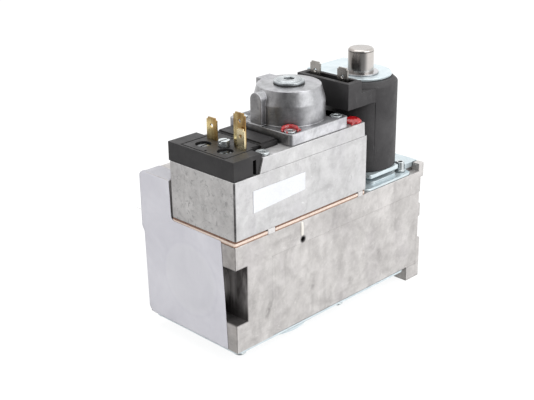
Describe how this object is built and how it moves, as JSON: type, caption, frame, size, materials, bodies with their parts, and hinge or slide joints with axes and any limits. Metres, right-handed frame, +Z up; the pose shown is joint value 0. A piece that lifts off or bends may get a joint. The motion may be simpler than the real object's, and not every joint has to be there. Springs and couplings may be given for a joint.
{
  "type": "gas valve",
  "caption": "Boiler gas control valve: cast body with flanged inlet, solenoid safety valve, servo operator with pressure regulator and plug-in connector.",
  "frame": {"origin": "centre of the inlet port on the inlet flange face", "axes": "+X out of the inlet port, +Z up through the coil and regulator, -X out of the outlet port, -Y towards the plain side face with the label"},
  "size_m": [0.1303, 0.0702, 0.1216],
  "materials": {
    "cast": "as-cast, dull",
    "cast_operator": "as-cast, machined edges",
    "cast_regulator": "as-cast, dull",
    "zinc": "zinc plated, bluish",
    "screw_zinc": "zinc plated",
    "tube_steel": "drawn, satin",
    "soft_iron": "turned",
    "spring_steel": "drawn wire",
    "turned_alu": "turned",
    "black_plastic": "moulded, matte",
    "coil_plastic": "moulded, fine grain",
    "natural_plastic": "moulded",
    "copper_wire": "enamelled wire",
    "rubber_black": "moulded nitrile",
    "gasket_brown": "fibre and rubber sheet",
    "brass_bare": "stamped",
    "tin": "tinned",
    "lacquer_red": "sealing lacquer",
    "film_lavender": "adhesive film",
    "paper_white": "label stock"
  },
  "bodies": {
    "housing": {"main_body": "cast", "bottom_plate": "zinc", "bottom_gasket": "rubber_black", "bottom_screws": "screw_zinc", "main_diaphragm": "rubber_black", "main_valve_spring": "spring_steel", "inlet_strainer": "tube_steel", "test_nipples": "brass_bare", "test_screws": "screw_zinc", "top_plate": "zinc", "top_plate_screws": "screw_zinc", "core_tube": "tube_steel", "tube_seal_ring": "rubber_black", "pole_piece": "soft_iron", "safety_valve_spring": "spring_steel", "coil_overmould": "coil_plastic", "coil_bobbin": "natural_plastic", "coil_winding": "copper_wire", "coil_tabs": "tin", "coil_bracket": "zinc", "coil_clip": "spring_steel", "operator_gasket": "gasket_brown", "operator_housing": "cast_operator", "operator_cover": "cast_operator", "operator_screws": "screw_zinc", "servo_frame": "soft_iron", "servo_bobbin": "natural_plastic", "servo_winding": "copper_wire", "servo_core": "soft_iron", "servo_spring": "spring_steel", "connector_block": "black_plastic", "connector_screws": "screw_zinc", "earth_screw": "screw_zinc", "live_terminal": "brass_bare", "earth_terminal": "brass_bare", "regulator_housing": "cast_regulator", "regulator_screws": "screw_zinc", "regulator_diaphragm": "rubber_black", "regulator_spring": "spring_steel", "tamper_lacquer": "lacquer_red", "port_sticker": "film_lavender", "blank_label": "paper_white"},
    "main_valve": {"diaphragm_plate": "turned_alu", "main_valve_stem": "soft_iron", "main_valve_disc": "turned_alu", "main_valve_seal": "rubber_black"},
    "safety_valve": {"plunger": "soft_iron", "safety_valve_stem": "soft_iron", "safety_valve_disc": "turned_alu", "safety_valve_seal": "rubber_black"},
    "servo_valve": {"servo_armature": "soft_iron", "servo_valve_pad": "rubber_black"},
    "regulator_sensor": {"regulator_plate": "turned_alu"},
    "adjuster_seat": {"spring_seat": "turned_alu"},
    "adjuster": {"adjusting_screw": "natural_plastic"},
    "cap_ring": {"cap_seal": "rubber_black"},
    "cap": {"cap_screw": "screw_zinc"}
  },
  "joints": [
    {"name": "main_valve_lift", "type": "slide", "parent": "housing", "child": "main_valve", "axis": [0, 0, 1], "range_m": [0, 0.0025], "deforming": ["main_diaphragm", "main_valve_spring"]},
    {"name": "safety_valve_lift", "type": "slide", "parent": "housing", "child": "safety_valve", "axis": [0, 0, 1], "range_m": [0, 0.0025], "deforming": ["safety_valve_spring"]},
    {"name": "servo_valve_lift", "type": "slide", "parent": "housing", "child": "servo_valve", "axis": [0, 0, 1], "range_m": [0, 0.0008], "deforming": ["servo_spring"]},
    {"name": "regulator_sense", "type": "slide", "parent": "housing", "child": "regulator_sensor", "axis": [0, 0, 1], "range_m": [-0.0005, 0.0005], "deforming": ["regulator_diaphragm"]},
    {"name": "adjuster_travel", "type": "slide", "parent": "housing", "child": "adjuster_seat", "axis": [0, 0, 1], "range_m": [-0.002, 0.002], "deforming": ["regulator_spring"]},
    {"name": "adjuster_turn", "type": "hinge", "parent": "adjuster_seat", "child": "adjuster", "pos_m": [-0.0756, -0.009, 0.0755], "axis": [0, 0, 1], "range_deg": [-720.5, 720.5]},
    {"name": "cap_travel", "type": "slide", "parent": "housing", "child": "cap_ring", "axis": [0, 0, 1], "range_m": [0, 0.005]},
    {"name": "cap_turn", "type": "hinge", "parent": "cap_ring", "child": "cap", "pos_m": [-0.0756, -0.009, 0.081], "axis": [0, 0, 1], "range_deg": [0, 1800.5]}
  ],
  "couplings": [
    {"joint": "adjuster_turn", "follows": "adjuster_travel", "rad_per_m": 6283.2},
    {"joint": "cap_turn", "follows": "cap_travel", "rad_per_m": 6283.2}
  ]
}
